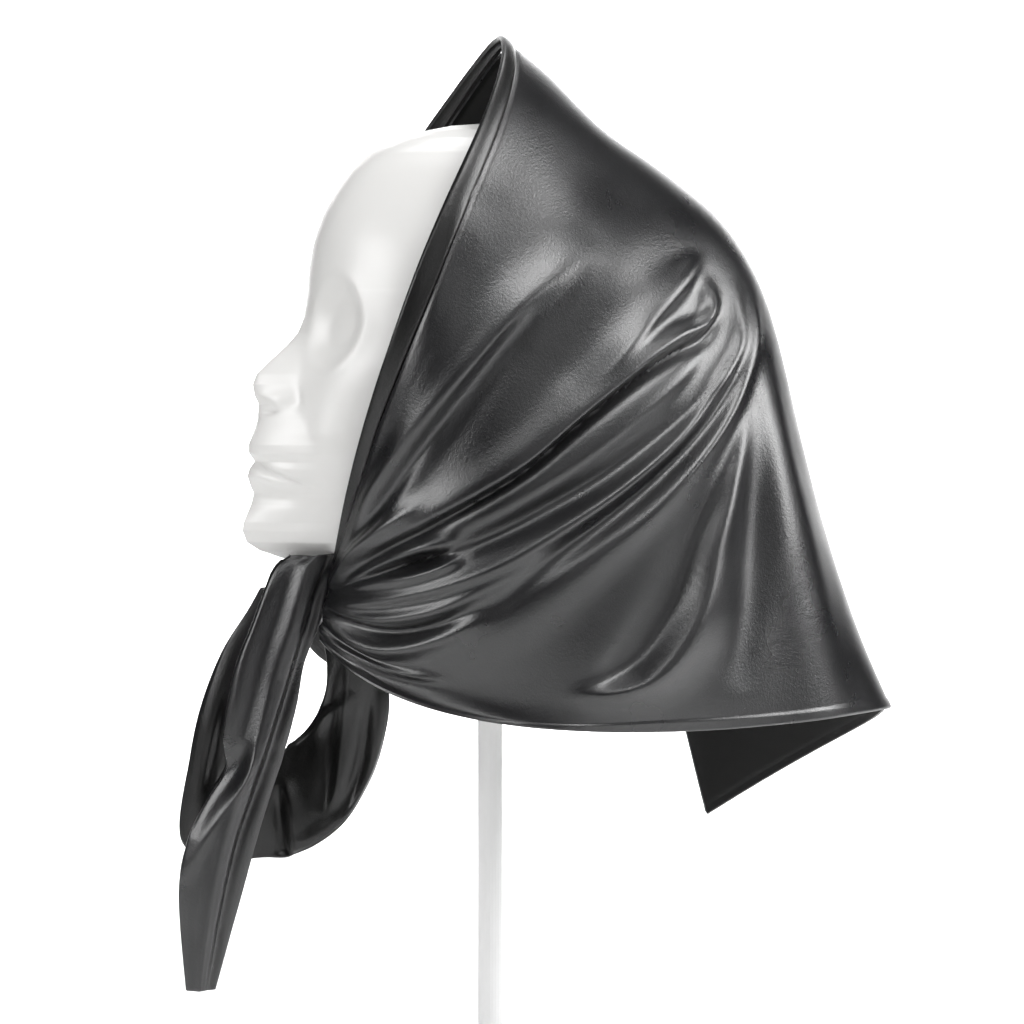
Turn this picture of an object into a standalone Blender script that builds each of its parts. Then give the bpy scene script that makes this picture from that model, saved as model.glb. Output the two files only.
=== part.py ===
"""Head scarf tied under the chin, worn on a plain white display head on a stand.

The scarf is one triangular cloth. Its long edge is turned and frames the face,
both ends meet in a half knot under the chin, one end hangs down in front and a
slack loop hangs behind it. The right-angle corner hangs behind the far shoulder
line. Z is up, the face looks along -Y and the wearer's left side is +X.
The origin is at the middle of the underside of the round base.
All the sizes below are in millimetres.
"""
import bpy
import math
import numpy as np

MM = 0.001

# ---- driving dimensions ---------------------------------------------------
CLOTH = 2.0             # wall of the faced cloth
CLOTH_AT_KNOT = 1.3     # the wall where the pleats are pressed together
SEAM = 0.4              # gap that neighbouring pieces keep
KNOT_HALF = 20.0        # the gathers end this far from the middle plane
WIDEST_AT = 0.58        # share of the way from ridge to knot where the hood is widest
FLAP_DROP = 65.4        # how far the free corner hangs below the hem on the far side
FLAP_AT = 0.38          # share of the way from ridge to knot where that corner hangs

BASE_RADIUS, BASE_HEIGHT, BASE_BEVEL = 92.0, 9.0, 2.0
ROD_RADIUS = 6.0
STAND_Y = 0.0           # the stand is under the centre of mass
NECK_BOTTOM = 186.0

HOOD_ROWS, HOOD_COLUMNS = 46, 15      # cells from edge to hem, and from ridge to knot
CORNER_ROWS = 6                       # cells down the free corner
MIDDLE = np.array([0.0, 20.0, 340.0])  # a point inside the hood


def table(text):
    """Rows of named columns as a dict of arrays."""
    lines = [l.split() for l in text.strip().splitlines()]
    names, rows = lines[0], lines[1:]
    return {n: np.array([float(r[i]) for r in rows]) for i, n in enumerate(names)}


# One row for each gather line of the hood, from the face edge (first) to the
# hem (last): where it starts on the ridge, where it ends at the knot, how it
# leaves and arrives, and how wide and how round the hood is there.
HOOPS = table("""
top_y top_z knot_y knot_z leave_y leave_z arrive_y arrive_z half_width round
   4.3 497.3 -81    250    -28     -64       3.5    137       83       0.56
  27   480   -81    246    -28     -63      17      106       83       0.57
  53   456   -82    243    -28     -59      21       79       85       0.56
  82   435   -82    239    -27     -55      26       51       87       0.56
 108   412   -83    235    -26     -54      36       18       88       0.56
 127   384   -85    230    -22     -56      51      -24       89       0.58
 141   352   -86    224    -14     -60      68      -60       90       0.66
 153   311   -86    221     -5     -56      78      -76       90       0.76
 166   265   -87    218      1     -40      74      -78       89       0.87
 184   214   -87    215      3     -12      56      -74       88       0.96
 203   170   -87    213      1      16      31      -65       87       1.00
""")

# Width of the turned edge, in gather lines (1 is the whole hood), along its run.
EDGE = table("""
along  width
 0.00  0.024
 0.30  0.032
 0.60  0.044
 0.80  0.050
 1.00  0.075
""")

# The largest folds. A fold runs along the gather lines: at is its line near the
# ridge, halfway and at the knot, from/to where it starts and fades, height and
# width its size (width in gather lines), lee how much steeper its lower side is.
FOLDS = table("""
side  at_top  at_mid  at_knot  start  end   height  width  lee
 1    0.23    0.200   0.270    0.20   0.97   4.5    0.050  0.45
 1    0.385   0.385   0.375    0.14   0.93   7.5    0.060  0.30
 1    0.45    0.465   0.500    0.20   1.00   4.0    0.034  0.50
 1    0.46    0.535   0.640    0.08   0.95   4.5    0.045  0.60
 1    0.50    0.620   0.740    0.05   0.80   3.5    0.050  0.60
 1    0.52    0.740   0.860    0.08   0.86   5.0    0.065  0.60
 1    0.56    0.900   0.950    0.03   0.60   3.5    0.070  0.80
-1    0.20    0.230   0.260    0.18   0.96   4.5    0.055  0.45
-1    0.34    0.360   0.400    0.16   0.95   6.0    0.055  0.35
-1    0.44    0.480   0.520    0.10   1.00   4.5    0.045  0.50
-1    0.50    0.600   0.660    0.06   0.90   4.5    0.055  0.60
-1    0.56    0.760   0.820    0.05   0.85   5.0    0.065  0.70
""")

# Sections of the free end in front, from under the chin down: how far forward
# (y) its left edge, its ridge, its crease and its right edge are, and how far
# out (x) the ridge stands.
TAIL = table("""
   z    left    ridge  crease  right  out
 252.3  -101.2   -86.3   -84.4   -82.2  23.5
 246.8  -108.4   -90.2   -87.0   -82.8  24.0
 236.6  -113.0   -93.7   -91.0   -83.5  24.5
 220.4  -119.1   -98.2   -94.8   -87.0  24.3
 201.8  -126.4  -104.3  -100.8   -94.3  23.6
 183.3  -130.4  -109.9  -106.4   -97.6  23.0
 168.4  -132.0  -114.4  -111.2  -101.3  22.5
 161.4  -130.8  -116.4  -113.4  -103.4  22.0
 155.9  -127.2  -118.2  -115.2  -104.8  21.8
 149.4  -127.6  -120.3  -117.0  -107.0  21.5
 139.1  -132.1  -123.6  -119.5  -110.4  21.0
 125.2  -137.7  -128.3  -122.8  -114.8  20.5
 113.6  -143.6  -131.3  -125.8  -118.1  20.0
 105.6  -150.8  -133.4  -127.6  -120.2  19.6
  92.5  -152.9  -136.1  -129.9  -123.7  18.8
  71.3  -151.6  -139.5  -134.9  -129.6  17.3
  49.5  -149.8  -142.6  -139.8  -135.9  15.8
""")

# Stations of the slack loop, from the knot down, round and up under the near
# cheek: its inner and outer edges in side view, and how far out it lies.
LOOP = table("""
 in_y   in_z  out_y  out_z   out
-106.4  236.0 -112.0  236.0   3.0
-107.6  221.0 -118.0  224.5   0.0
-107.5  203.8 -129.3  205.9  -4.0
-105.2  179.9 -138.6  181.4  -6.0
-106.0  164.1 -143.9  156.4  -7.0
-103.1  159.3 -148.3  118.1  -7.0
 -99.8  158.2 -131.2  106.0  -7.0
 -97.1  160.6 -112.7  107.7  -6.0
 -93.3  163.3  -94.5  109.8  -3.0
 -88.3  168.8  -74.9  122.6   1.0
 -83.8  177.7  -63.1  140.8   5.0
 -81.2  188.0  -56.7  158.3   9.0
 -81.6  200.2  -53.5  179.5  12.5
 -83.1  209.8  -55.3  199.6  14.0
""")

# Level sections of the display head: front of the face, where it is widest, the
# back, half the width there, how pointed the front is, and how far the nose
# stands out.
HEAD = table("""
   z    front    wide   back   half  point  nose
 186.0   -38.0   12.0   62.0   43.0  0.50   0.0
 215.0   -36.0   13.0   64.0   43.0  0.50   0.0
 240.0   -37.0   14.0   68.0   43.5  0.50   0.0
 246.5   -42.0   14.0   70.0   44.0  0.55   0.0
 249.8   -97.0   12.0   72.0   43.0  1.05   0.0
 253.8  -110.0   10.0   74.0   44.0  1.05   0.0
 257.9  -117.0    9.0   77.0   46.0  1.02   0.0
 263.4  -120.0    9.0   80.0   48.5  0.97   0.0
 268.0  -119.0    8.0   82.0   50.5  0.94   0.0
 275.4  -116.0    8.0   86.0   54.0  0.86   0.0
 281.0  -114.9    8.0   88.5   56.0  0.80   0.0
 288.9  -117.6    8.0   91.5   58.5  0.74   0.0
 295.7  -114.1    8.0   94.0   60.0  0.69   0.0
 301.5  -117.0    8.0   96.0   61.3  0.65   0.0
 309.1  -114.0    8.0   97.3   62.7  0.62   1.1
 315.8  -107.0    8.0   98.8   64.0  0.58   5.7
 322.6  -101.5    8.0  100.0   65.0  0.56  10.6
 328.0   -98.5    8.0  101.0   65.5  0.54  15.7
 332.0   -97.3    8.0  101.3   66.0  0.53  17.6
 336.7   -95.8    8.0  101.5   66.6  0.53  17.2
 343.4   -93.8    8.0  102.0   67.3  0.52  12.3
 350.1   -92.0    8.0  102.0   67.7  0.51   6.6
 356.2   -90.6    8.0  102.0   68.0  0.51   2.5
 364.3   -89.1    8.0  101.4   68.0  0.50   0.5
 373.7   -88.0    8.0  100.5   67.7  0.50   0.0
 385.8   -87.1    8.0   97.8   65.8  0.50   0.0
 399.3   -84.7    8.0   92.5   62.0  0.50   0.0
 412.8   -79.9    8.0   84.8   56.5  0.50   0.0
 424.3   -72.9    8.0   76.3   50.2  0.50   0.0
 433.8   -66.1    8.0   65.5   43.5  0.50   0.0
 442.1   -56.3    7.0   52.5   34.8  0.50   0.0
 447.0   -45.2    6.0   44.0   29.0  0.50   0.0
 451.2   -32.7    4.5   32.0   21.5  0.50   0.0
 454.0   -19.5    2.5   18.5   12.5  0.50   0.0
""")
CROWN = (0.0, 455.5)    # y and z of the top of the head


# ---- helpers --------------------------------------------------------------
def smooth(u):
    u = np.clip(u, 0.0, 1.0)
    return u * u * (3 - 2 * u)


def along(rows, u):
    """Smooth curve through every column of a table, u from 0 to 1."""
    names = list(rows)
    a = np.stack([rows[n] for n in names], 1)
    u = np.clip(np.asarray(u, float), 0, 1) * (len(a) - 1)
    i = np.clip(np.floor(u).astype(int), 0, len(a) - 2)
    f = (u - i)[..., None]
    p0, p1 = a[np.clip(i - 1, 0, None)], a[i]
    p2, p3 = a[i + 1], a[np.clip(i + 2, None, len(a) - 1)]
    m1 = np.where((i == 0)[..., None], p2 - p1, (p2 - p0) / 2)
    m2 = np.where((i == len(a) - 2)[..., None], p2 - p1, (p3 - p1) / 2)
    v = ((2 * f**3 - 3 * f**2 + 1) * p1 + (f**3 - 2 * f**2 + f) * m1
         + (3 * f**2 - 2 * f**3) * p2 + (f**3 - f**2) * m2)
    return {n: v[..., k] for k, n in enumerate(names)}


def unit(v):
    return v / np.maximum(np.linalg.norm(v, axis=-1, keepdims=True), 1e-9)


def grid_normals(p):
    return unit(np.cross(np.gradient(p, axis=0), np.gradient(p, axis=1)))


def add_object(name, verts, faces, colour, roughness, metallic=0.0, coat=0.0):
    me = bpy.data.meshes.new(name)
    me.from_pydata([tuple(float(c) * MM for c in v) for v in verts], [], faces)
    me.validate()
    ob = bpy.data.objects.new(name, me)
    bpy.context.scene.collection.objects.link(ob)
    mat = bpy.data.materials.new(name + "_finish")
    mat.use_nodes = True
    bsdf = mat.node_tree.nodes["Principled BSDF"]
    bsdf.inputs["Base Color"].default_value = (*colour, 1.0)
    bsdf.inputs["Roughness"].default_value = roughness
    bsdf.inputs["Metallic"].default_value = metallic
    bsdf.inputs["Coat Weight"].default_value = coat
    mat.diffuse_color = (*colour, 1.0)
    me.materials.append(mat)
    me.shade_smooth()
    me.set_sharp_from_angle(angle=math.radians(40))
    return ob


def grid_faces(ids):
    """Quads of a grid of vertex numbers; cells with a missing corner (-1) are
    left out and cells with two equal corners become triangles."""
    faces = []
    for i in range(ids.shape[0] - 1):
        for j in range(ids.shape[1] - 1):
            f = [ids[i, j], ids[i + 1, j], ids[i + 1, j + 1], ids[i, j + 1]]
            f = [int(v) for k, v in enumerate(f) if v != f[k - 1]]
            if len(f) > 2 and min(f) >= 0:
                faces.append(tuple(f))
    return faces


def shell(verts, faces, wall, middle):
    """Closed wall: the faces, the same faces moved by the wall towards the
    inside, and a rim along every open edge. middle is a point inside."""
    verts = np.asarray(verts, float)
    k = len(verts)
    normals = np.zeros_like(verts)
    for f in faces:
        a, b, c, d = (verts[f[i % len(f)]] for i in (0, 1, 2, 3))
        normals[list(f)] += np.cross(c - a, d - b) if len(f) == 4 else np.cross(b - a, c - a)
    normals = unit(normals)
    if (normals * (verts - middle)).sum() < 0:
        normals, faces = -normals, [f[::-1] for f in faces]
    inner = verts - normals * np.broadcast_to(wall, (k,))[:, None]
    edges = {(f[i - 1], f[i]) for f in faces for i in range(len(f))}
    rim = [(b, a, k + a, k + b) for a, b in sorted(edges) if (b, a) not in edges]
    return (np.concatenate([verts, inner]),
            faces + [tuple(k + v for v in f[::-1]) for f in faces] + rim)


def grid_shell(p, wall, middle):
    n, m, _ = p.shape
    ids = np.arange(n * m).reshape(n, m)
    return shell(p.reshape(-1, 3), grid_faces(ids), np.broadcast_to(wall, (n, m)).ravel(), middle)


# ---- the hood -------------------------------------------------------------
def gather_line(a, b):
    """Point on the smooth hood. a: 0 face edge to 1 hem; b: -1 far knot end,
    0 ridge, 1 near knot end."""
    a, b = np.broadcast_arrays(np.asarray(a, float), np.asarray(b, float))
    t = np.abs(b)
    r = along(HOOPS, a)
    w = r["half_width"]
    y0, z0, y3, z3 = r["top_y"], r["top_z"], r["knot_y"], r["knot_z"]
    y1, z1 = y0 + r["leave_y"], z0 + r["leave_z"]
    y2, z2 = y3 + r["arrive_y"], z3 + r["arrive_z"]
    c0, c1, c2, c3 = (1 - t)**3, 3 * (1 - t)**2 * t, 3 * (1 - t) * t * t, t**3
    y = c0 * y0 + c1 * y1 + c2 * y2 + c3 * y3
    z = c0 * z0 + c1 * z1 + c2 * z2 + c3 * z3
    rise = np.sin(np.pi / 2 * np.clip(t / WIDEST_AT, 0, 1)) ** r["round"]
    end = KNOT_HALF / w
    fall = end + (1 - end) * np.cos(np.pi / 2 * np.clip((t - WIDEST_AT) / (1 - WIDEST_AT), 0, 1)) ** 0.9
    x = np.sign(b) * w * np.where(t < WIDEST_AT, rise, fall)
    return np.stack([x, y, z], -1)


def hood_line(a, b):
    """The same, and past the hem (a over 1) 100 mm straight on for each 1."""
    p, q = gather_line(a, b), gather_line(1.0, b)
    on = unit(q - gather_line(0.9, b))
    on[..., 1] *= 1 - 0.28 * smooth(np.abs(b) / FLAP_AT)
    return p + unit(on) * 100.0 * np.clip(np.asarray(a, float) - 1, 0, None)[..., None]


def corner_drop(t):
    """How far the cloth goes on below the hem line on the far side, down to
    the free corner; beyond that corner it ends at the hem line again."""
    s = t / FLAP_AT
    return FLAP_DROP * (0.8 * s + 0.2 * s ** 3)


def fold_height(a, b):
    t = np.abs(b)
    h = np.zeros(np.broadcast(a, b).shape)
    for k in range(len(FOLDS["side"])):
        f = {n: FOLDS[n][k] for n in FOLDS}
        mid = np.where(t < 0.5, f["at_top"] + (f["at_mid"] - f["at_top"]) * smooth(t / 0.5),
                       f["at_mid"] + (f["at_knot"] - f["at_mid"]) * smooth((t - 0.5) / 0.45))
        d = (a - mid) / f["width"]
        d = np.where(d > 0, d / f["lee"], d)
        fade = smooth((t - f["start"]) / 0.18) * smooth((f["end"] - t) / 0.22)
        fade = fade * (0.35 + 0.65 * smooth((1.0 - t) / 0.5))
        h = h + np.where(np.sign(b) == f["side"], f["height"] * fade * np.exp(-d * d), 0)
    return h


def edge_width(t):
    return np.interp(t, EDGE["along"], EDGE["width"])


def folded(a, b):
    """The folded surface at a grid of gather lines and places along them."""
    p = hood_line(a, b)
    n = grid_normals(p)
    out = np.sign((n * (p - MIDDLE)).sum())
    return p + n * out * fold_height(a, b)[..., None]


def columns(count):
    half = np.sort(np.append(np.linspace(0, 1, count + 1), FLAP_AT))
    return np.concatenate([-half[:0:-1], half])


def lines_per_mm(t):
    """How many gather lines one millimetre is at the face edge."""
    p, q = hood_line(0.02, t), hood_line(0.10, t)
    return 0.08 / np.linalg.norm(q - p, axis=-1)


def hood_wall(b):
    return CLOTH + (CLOTH_AT_KNOT - CLOTH) * smooth((np.abs(b) - 0.75) / 0.25)


def make_hood():
    cols = columns(HOOD_COLUMNS)
    b, u = np.meshgrid(cols, np.linspace(0, 1, HOOD_ROWS + 1))
    t = np.abs(b)
    start = edge_width(t) + SEAM * (1 + 1.5 * smooth((t - 0.8) / 0.15)) * lines_per_mm(t)
    p = folded(start + (1 - start) * u, b)
    ids = np.arange(p.size // 3).reshape(b.shape)
    # the free corner goes on from the hem
    on = np.where((cols >= -FLAP_AT - 1e-6) & (cols < -1e-6))[0]
    first, last = on[0], on[-1] + 1
    bc, v = np.meshgrid(cols[first:last + 1], np.linspace(0, 1, CORNER_ROWS + 1))
    q = folded(1 + corner_drop(-bc) * v / 100.0, bc)
    more = np.full((CORNER_ROWS + 1, len(cols)), -1)
    more[0] = ids[-1]
    more[1:, last] = ids[-1, last]
    more[1:, first:last] = ids.size + np.arange(CORNER_ROWS * (last - first)).reshape(CORNER_ROWS, -1)
    verts = np.concatenate([p.reshape(-1, 3), q[1:, :-1].reshape(-1, 3)])
    wall = np.concatenate([hood_wall(b).ravel(), hood_wall(bc[1:, :-1]).ravel()])
    return shell(verts, grid_faces(ids) + grid_faces(more), wall, MIDDLE)


def make_face_edge():
    b, u = np.meshgrid(columns(HOOD_COLUMNS * 2), np.linspace(0, 1, 4))
    p = folded(edge_width(np.abs(b)) * u, b)
    n = grid_normals(p)
    n = n * np.sign((n * (p - MIDDLE)).sum())
    thick = 0.9 * (1 - smooth((np.abs(b) - 0.75) / 0.2))
    p = p + n * (thick * np.sin(np.pi * u))[..., None]
    return grid_shell(p, thick + hood_wall(b), MIDDLE)


# ---- the knot, the free end and the slack loop ------------------------------
def make_knot():
    centre, size = np.array([0.0, -91.5, 230.3]), np.array([18.8, 12.0, 16.3])
    rings, segs = 10, 20
    verts, faces = [], []
    for i in range(1, rings):
        lat = math.pi * i / rings
        for j in range(segs):
            lon = 2 * math.pi * j / segs
            groove = 1 + 0.05 * math.cos(3 * lat + 2 * lon)
            d = np.array([math.cos(lat), math.sin(lat) * math.cos(lon), math.sin(lat) * math.sin(lon)])
            q = np.sign(d) * np.abs(d) ** np.array([0.75, 1, 1])
            verts.append(centre + size * q * np.array([1, groove, groove]))
    top, bottom = len(verts), len(verts) + 1
    verts += [centre + size * [1, 0, 0], centre - size * [1, 0, 0]]
    for i in range(rings - 2):
        for j in range(segs):
            k = (j + 1) % segs
            faces.append((i * segs + j, (i + 1) * segs + j, (i + 1) * segs + k, i * segs + k))
    last = (rings - 2) * segs
    for j in range(segs):
        k = (j + 1) % segs
        faces.append((top, j, k))
        faces.append((bottom, last + k, last + j))
    return verts, faces


def make_tail():
    count = 30
    r = along(TAIL, np.linspace(0, 1, count))
    rows, walls = [], []
    for i in range(count):
        left, ridge, crease, right = (r[c][i] for c in ("left", "ridge", "crease", "right"))
        out, z = r["out"][i], r["z"][i]
        span = right - left
        k = min(1.0, span / 24.0)
        wrap = min(1.0, max(0.25, (248.0 - z) / 45.0))      # the wall turns further round the back lower down
        shape = ((-6.5 - 11.5 * wrap, left + 0.34 * wrap * span), (-6.5 - 9.0 * wrap, left + 0.16 * wrap * span),
                 (-6.5 - 4.5 * wrap, left + 0.04 * span), (-6.5, left), (-3.2, left + 0.15 * span),
                 (-1.8, left + 0.6 * (ridge - left)), (-0.1, ridge - 0.04 * span), (-0.1, ridge + 0.04 * span),
                 (-1.9, crease), (-1.2, crease + 0.5 * (right - crease)), (-2.6, right))
        rows.append([(out + k * dx, y, z) for dx, y in shape])
        walls.append([1.6 * k] * len(shape))
    return grid_shell(np.array(rows), walls, (0, -122, 150))


def make_loop():
    count, across = 44, 9
    r = along(LOOP, np.linspace(0, 1, count))
    s = np.linspace(0, 1, across)
    inner = np.stack([r["out"], r["in_y"], r["in_z"]], -1)
    outer = np.stack([r["out"], r["out_y"], r["out_z"]], -1)
    p = inner[:, None] * (1 - s)[None, :, None] + outer[:, None] * s[None, :, None]
    width = np.linalg.norm(inner - outer, axis=-1)[:, None]
    p[..., 0] += np.minimum(0.16 * width, 4.5) * np.sin(np.pi * s)[None]
    return grid_shell(p, 1.8, (-100, -105, 160))


# ---- the display head and its stand -----------------------------------------
def make_head():
    segs = 36
    verts = []
    for i, z in enumerate(HEAD["z"]):
        r = {n: HEAD[n][i] for n in HEAD}
        for j in range(segs):
            th = 2 * math.pi * j / segs
            x, c = math.sin(th), math.cos(th)
            depth = (r["wide"] - r["front"]) if c > 0 else (r["back"] - r["wide"])
            y = r["wide"] - depth * c
            power = 2 * r["point"] if c > 0 else 1.0
            x = math.copysign(r["half"] * abs(x) ** power, x)
            if c > 0:
                y -= r["nose"] * math.exp(-(x / 8.5) ** 2)
            verts.append((x, y, z))
    rings = len(HEAD["z"])
    faces = [tuple(range(segs))]
    for i in range(rings - 1):
        for j in range(segs):
            k = (j + 1) % segs
            faces.append((i * segs + j, (i + 1) * segs + j, (i + 1) * segs + k, i * segs + k))
    verts.append((0.0, *CROWN))
    last = (rings - 1) * segs
    for j in range(segs):
        faces.append((last + j, len(verts) - 1, last + (j + 1) % segs))
    return verts, faces


def turned(profile, segs, y):
    """Closed solid turned about the vertical line at y; radii and heights."""
    verts = [(r * math.sin(2 * math.pi * j / segs), y - r * math.cos(2 * math.pi * j / segs), z)
             for r, z in profile for j in range(segs)]
    faces = [tuple(range(segs))]
    for i in range(len(profile) - 1):
        for j in range(segs):
            k = (j + 1) % segs
            faces.append((i * segs + j, (i + 1) * segs + j, (i + 1) * segs + k, i * segs + k))
    faces.append(tuple(reversed(range((len(profile) - 1) * segs, len(profile) * segs))))
    return verts, faces


def outward(ob):
    """Turn the faces outward if the signed volume says that they look in."""
    me = ob.data
    v = 0.0
    me.calc_loop_triangles()
    for t in me.loop_triangles:
        a, b, c = (me.vertices[i].co for i in t.vertices)
        v += a.dot(b.cross(c)) / 6
    if v < 0:
        me.flip_normals()


def main():
    for ob in list(bpy.data.objects):
        bpy.data.objects.remove(ob, do_unlink=True)
    black, rough = (0.018, 0.018, 0.019), 0.38
    white, paint = (0.86, 0.86, 0.85), (0.80, 0.80, 0.80)
    base = turned([(BASE_RADIUS, 0.0), (BASE_RADIUS, BASE_HEIGHT - BASE_BEVEL),
                   (BASE_RADIUS - 0.3 * BASE_BEVEL, BASE_HEIGHT - 0.3 * BASE_BEVEL),
                   (BASE_RADIUS - BASE_BEVEL, BASE_HEIGHT)], 64, STAND_Y)
    rod = turned([(ROD_RADIUS, BASE_HEIGHT + SEAM), (ROD_RADIUS, NECK_BOTTOM - SEAM)], 24, STAND_Y)
    parts = [
        ("hood", make_hood(), black, rough, 0.0, 0.0),
        ("face_edge", make_face_edge(), black, rough, 0.0, 0.0),
        ("knot", make_knot(), black, rough, 0.0, 0.0),
        ("tail_front", make_tail(), black, rough, 0.0, 0.0),
        ("slack_loop", make_loop(), black, rough, 0.0, 0.0),
        ("head_form", make_head(), white, 0.22, 0.0, 0.6),
        ("stand_rod", rod, paint, 0.35, 0.0, 0.2),
        ("stand_base", base, paint, 0.35, 0.0, 0.2),
    ]
    for name, (verts, faces), colour, roughness, metallic, coat in parts:
        outward(add_object(name, verts, faces, colour, roughness, metallic, coat))


main()
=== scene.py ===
"""The looks of the head scarf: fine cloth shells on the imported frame, leather,
gloss and paint materials, a pale floor, soft studio light and the camera.

All the tables below are in millimetres, in the frame's own axes: Z is up, the
face looks along -Y and the wearer's left side is +X.
"""
import math

import bpy
import numpy as np
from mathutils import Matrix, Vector


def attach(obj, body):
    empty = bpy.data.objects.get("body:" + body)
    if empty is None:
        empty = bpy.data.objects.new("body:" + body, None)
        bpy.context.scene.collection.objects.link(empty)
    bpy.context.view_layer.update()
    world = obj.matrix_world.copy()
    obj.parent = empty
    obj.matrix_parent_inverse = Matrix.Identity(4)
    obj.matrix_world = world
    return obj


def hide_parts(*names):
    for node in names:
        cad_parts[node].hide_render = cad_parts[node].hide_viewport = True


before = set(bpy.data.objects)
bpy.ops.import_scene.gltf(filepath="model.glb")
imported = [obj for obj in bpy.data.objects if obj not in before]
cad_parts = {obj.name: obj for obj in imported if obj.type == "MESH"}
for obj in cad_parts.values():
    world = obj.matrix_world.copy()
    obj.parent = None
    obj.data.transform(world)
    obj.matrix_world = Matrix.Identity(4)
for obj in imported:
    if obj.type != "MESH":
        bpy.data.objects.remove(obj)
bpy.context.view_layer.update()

MM = 0.001
CLOTH = 1.8             # wall of the faced cloth
CLOTH_AT_KNOT = 1.1
SEAM = 0.4
KNOT_HALF = 20.0
WIDEST_AT = 0.58
FLAP_DROP = 65.4
FLAP_AT = 0.38
HOOD_ROWS, HOOD_NEAR, HOOD_FAR = 300, 88, 56   # cells from edge to hem, and from ridge to knot
CORNER_ROWS = 60                     # cells down the free corner
MIDDLE = np.array([0.0, 20.0, 340.0])
EYE = np.array([1.44690, -0.37676, 0.34874])     # the camera, in metres
AIM = (0.0, 0.01093, 0.27024)
LENS = 109.863


def table(text):
    """Rows of named columns as a dict of arrays. The first column may be a name."""
    lines = [l.split() for l in text.strip().splitlines()]
    names, rows = lines[0], lines[1:]
    return {n: np.array([float(r[i]) for r in rows]) for i, n in enumerate(names) if n != "fold"}


HOOPS = table("""
top_y top_z knot_y knot_z leave_y leave_z arrive_y arrive_z half_width round
   4.3 497.3 -81    250    -28     -64       3.5    137       83       0.56
  27   480   -81    246    -28     -63      17      106       83       0.57
  53   456   -82    243    -28     -59      21       79       85       0.56
  82   435   -82    239    -27     -55      26       51       87       0.56
 108   412   -83    235    -26     -54      36       18       88       0.56
 127   384   -85    230    -22     -56      51      -24       89       0.58
 141   352   -86    224    -14     -60      68      -60       90       0.66
 153   311   -86    221     -5     -56      78      -76       90       0.76
 166   265   -87    218      1     -40      74      -78       89       0.87
 184   214   -87    215      3     -12      56      -74       88       0.96
 203   170   -87    213      1      16      31      -65       87       1.00
""")

EDGE = table("""
along  width
 0.00  0.024
 0.30  0.032
 0.60  0.044
 0.80  0.050
 1.00  0.075
""")

# The folds of the hood's far side. A fold starts and ends at a share of the way
# from the ridge to the knot; at_1 to at_5 are the gather lines it passes, evenly spaced
# between those; height in mm (negative is a trough); up and down are its widths
# in gather lines towards the face edge and towards the hem; crest is 2 for a
# round top and nearer 1 for a sharp one; fade_in and fade_out are shares too.
FOLDS = table("""
fold         side start end   at_1   at_2   at_3   at_4   at_5   height up    down   crest fade_in fade_out
far_a        -1   0.26  0.97  0.160  0.170  0.185  0.200  0.220   4.4   0.040 0.020  1.4   0.16    0.10
far_b        -1   0.20  0.92  0.270  0.285  0.290  0.290  0.285   3.4   0.050 0.040  1.8   0.18    0.18
far_lap_up   -1   0.24  0.95  0.350  0.360  0.352  0.350  0.355   6.0   0.050 0.013  1.7   0.09    0.18
far_lap_low  -1   0.24  0.88  0.406  0.388  0.378  0.376  0.380   5.4   0.012 0.034  1.5   0.09    0.22
far_c        -1   0.34  1.00  0.440  0.446  0.452  0.470  0.490   3.4   0.022 0.022  1.5   0.20    0.01
far_d        -1   0.10  0.90  0.450  0.505  0.540  0.590  0.740   4.6   0.020 0.026  1.3   0.14    0.20
far_e        -1   0.05  0.70  0.480  0.550  0.610  0.650  0.700   4.4   0.024 0.030  1.4   0.14    0.26
far_f        -1   0.16  0.84  0.560  0.640  0.700  0.760  0.840   5.0   0.030 0.036  1.5   0.16    0.20
far_g        -1   0.02  0.44  0.520  0.600  0.700  0.820  0.940   4.6   0.034 0.040  1.6   0.10    0.12
far_knot_a   -1   0.74  1.00  0.110  0.120  0.130  0.135  0.120   5.0   0.030 0.020  1.4   0.16    0.02
far_knot_b   -1   0.78  1.00  0.560  0.600  0.620  0.630  0.620   6.0   0.045 0.035  1.6   0.12    0.01
far_knot_c   -1   0.84  1.00  0.720  0.730  0.740  0.740  0.750  -5.5   0.035 0.035  1.6   0.08    0.01
far_knot_d   -1   0.82  1.00  0.860  0.870  0.880  0.880  0.870   5.0   0.040 0.040  1.5   0.08    0.01
""")

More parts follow.
